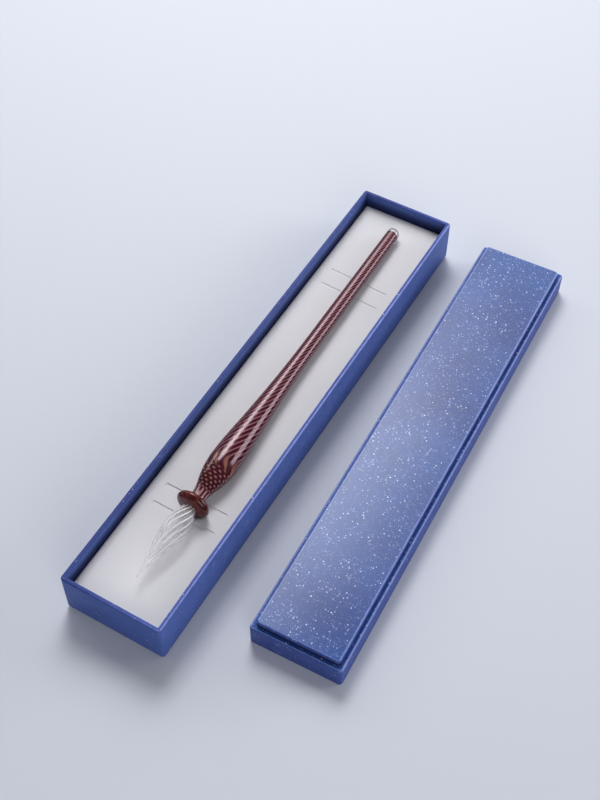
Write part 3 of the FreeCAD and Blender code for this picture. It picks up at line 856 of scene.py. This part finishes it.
crest_line = add(tree, "Math", {0: crest.outputs["Result"], 1: crest_light.outputs["Result"]},
                 operation="MULTIPLY")
groove_line = add(tree, "MapRange", {"Value": height, "From Min": 0.03, "From Max": 0.14, "To Min": 0.3,
                                     "To Max": 0.0})
painted_light_line = add(tree, "Math", {0: crest_line.outputs["Value"], 1: groove_line.outputs["Result"]},
                 operation="MAXIMUM")
off_flank = add(tree, "Math", {0: height, 1: 0.45}, operation="SUBTRACT")
flank_gap = add(tree, "Math", {0: off_flank.outputs["Value"]}, operation="ABSOLUTE")
flank = add(tree, "MapRange", {"Value": flank_gap.outputs["Value"], "From Min": 0.05, "From Max": 0.13,
                               "To Min": 0.9, "To Max": 0.0})
drawn_out = add(tree, "VectorMath", {0: place, 1: (1.6, 0.45, 1.6)}, operation="MULTIPLY")
long_patches = add(tree, "TexNoise", {"Vector": drawn_out.outputs["Vector"], "Scale": 1 / (4 * mm),
                                      "Detail": 0.0})
flank_patch = add(tree, "MapRange", {"Value": long_patches.outputs["Fac"], "From Min": 0.61,
                                     "From Max": 0.64})
painted_dark_stroke = add(tree, "Math", {0: flank.outputs["Result"], 1: flank_patch.outputs["Result"]},
             operation="MULTIPLY")
line = add(tree, "Math", {0: painted_light_line.outputs["Value"], 1: painted_dark_stroke.outputs["Value"]}, operation="MAXIMUM")
tone = add(tree, "Mix", {"Factor": painted_dark_stroke.outputs["Value"], "A": linear("#f5f4f6"), "B": linear("#3c3f4c")},
           data_type="RGBA")
root_lift = add(tree, "Attribute", {}, attribute_name="root_light").outputs["Fac"]
body = add(tree, "MapRange", {"Value": root_lift, "To Min": 0.92, "To Max": 0.7})
clear = add(tree, "MapRange", {"Value": line.outputs["Value"], "To Min": body.outputs["Result"],
                               "To Max": 0.1})
tree.links.new(tone.outputs["Result"], shader.inputs["Base Color"])
tree.links.new(clear.outputs["Result"], shader.inputs["Transmission Weight"])
settle(nib, "pen_fluted_nib", fluted_glass, angle=50)
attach(nib, "pen")
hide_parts("pen_nib")


# Lid lining: plain pale paper glued inside the lid over the raw board.
# It hides the joints of the inner walls.
lining = plain_paper("pale_lining_paper", "#d9d8da", "#e9e8ea", fibre_size=1.5 * mm, detail=5.0,
                     distortion=0.0, roughness=0.8)
dress("lid_lining", lining)


# Lid covering: the same blue paper over a stepped board lid, tight round the raised panel and
# down the band. Its top shows the clouds, specks and fibres best.
lid_centre = Vector((52.5, 12.3, 0)) * mm
lid_turn = math.radians(1.9)
lid_width, lid_length = 33.2 * mm, 190.0 * mm
ledge_height, ledge_width = 9.0 * mm, 1.7 * mm
panel_rise = 2.4 * mm
lid_top = ledge_height + panel_rise
lid_fold_rounding = 0.5 * mm
lid_cover = block_with_rim((0, 0, ledge_height / 2), (lid_width, lid_length, ledge_height), ledge_width)
bpy.ops.mesh.extrude_region_move(TRANSFORM_OT_translate={"value": (0, 0, panel_rise)})
pick("FACE", lambda face: face.normal.z < -0.9)
bpy.ops.mesh.delete(type="FACE")
round_edges(upright, corner_rounding, segments=5)
round_edges(lambda edge: folded_at(edge, lid_top), lid_fold_rounding, segments=4)
round_edges(lambda edge: folded_at(edge, ledge_height) and
            all(face.calc_center_median().z < ledge_height + 0.01 * mm for face in edge.link_faces),
            lid_fold_rounding, segments=4)
pick("FACE", lambda face: face.normal.z > 0.999)
bpy.ops.mesh.inset(thickness=fold_margin, use_even_offset=True)
bpy.ops.object.mode_set(mode="OBJECT")
thicken(lid_cover, paper_thickness)
foot_x, foot_y = lid_width / 2 - ledge_width + 0.05 * mm, lid_length / 2 - ledge_width + 0.05 * mm


def panel_foot_shade(vertex):
    # Painted shade in the crease at the foot of the panel, deepest along the near end, whose side lies in
    # shade.
    if near(vertex.co.z, ledge_height) and abs(vertex.co.x) < foot_x and abs(vertex.co.y) < foot_y:
        return 2.0 if faces_near_end(vertex) else 0.3
    return 0.0


mark_folds(lid_cover, [ledge_height, lid_top], lambda vertex: 1.0, panel_foot_shade)
lid_cover.location = lid_centre
lid_cover.rotation_euler = (0, 0, lid_turn)
lid_paper = covering_paper("flecked_lid_paper", "#093682", "#1f4b94", "#35488b", speck_share=0.8,
                           fibre_strength=0.3, pressed_level=lid_top - 0.1 * mm)
settle(lid_cover, "lid_cover", lid_paper, angle=40)
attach(lid_cover, "lid")
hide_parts("lid_wrap")


# Floor: one wide pale sheet under the case, a hair below it.
# It is plain, so that the case's shadow shows.
bpy.ops.object.select_all(action="DESELECT")
bpy.ops.mesh.primitive_plane_add(size=6, location=(0, 0, -0.1 * mm))
floor = bpy.context.active_object
floor.name = "floor"
studio_floor = finish_named("pale_studio_floor", {"Base Color": linear("#cfd3de"), "Roughness": 0.6,
                                                  "Specular IOR Level": 0.2})[0]
floor.data.materials.append(studio_floor)

# Light: a softbox overhead on the left, behind the case, whose light gathers to its middle in four
# steps, one low on the right, a small one low on the left, a wide one in front, and a dim pale room.
# All face the case. Each has its place, its width across the pen and length along it, and its watts.
case_middle = Vector((0, 20, 15)) * mm
softboxes = [("softbox_left", (-0.266, 0.604, 0.756), (0.77, 0.71), 1.2),
             ("softbox_left_inner", (-0.365, 0.650, 0.732), (0.70, 0.575), 3.15),
             ("softbox_left_long_core", (-0.319, 0.500, 0.802), (0.33, 0.50), 2.3),
             ("softbox_left_short_core", (-0.319, 0.430, 0.811), (0.33, 0.36), 1.9),
             ("softbox_right", (0.748, 0.638, 0.237), (0.50, 0.63), 5.0),
             ("softbox_side", (-0.85, 0.25, 0.47), (0.30, 0.35), 1.0),
             ("softbox_front", (0.75, -0.75, 0.40), (0.90, 0.60), 4.5)]
for name, spot, size, watts in softboxes:
    lamp = bpy.data.lights.new(name, "AREA")
    lamp.shape = "RECTANGLE"
    lamp.size, lamp.size_y = size
    lamp.energy = watts
    box = bpy.data.objects.new(name, lamp)
    box.location = spot
    back = (Vector(spot) - case_middle).normalized()
    across = Vector((0, 1, 0)).cross(back).normalized()
    box.rotation_euler = Matrix((across, back.cross(across), back)).transposed().to_euler()
    bpy.context.scene.collection.objects.link(box)
room = bpy.data.worlds.new("pale_room")
bpy.context.scene.world = room
room.use_nodes = True
background = room.node_tree.nodes["Background"]
background.inputs["Color"].default_value = linear("#e4e7f0")
background.inputs["Strength"].default_value = 0.21
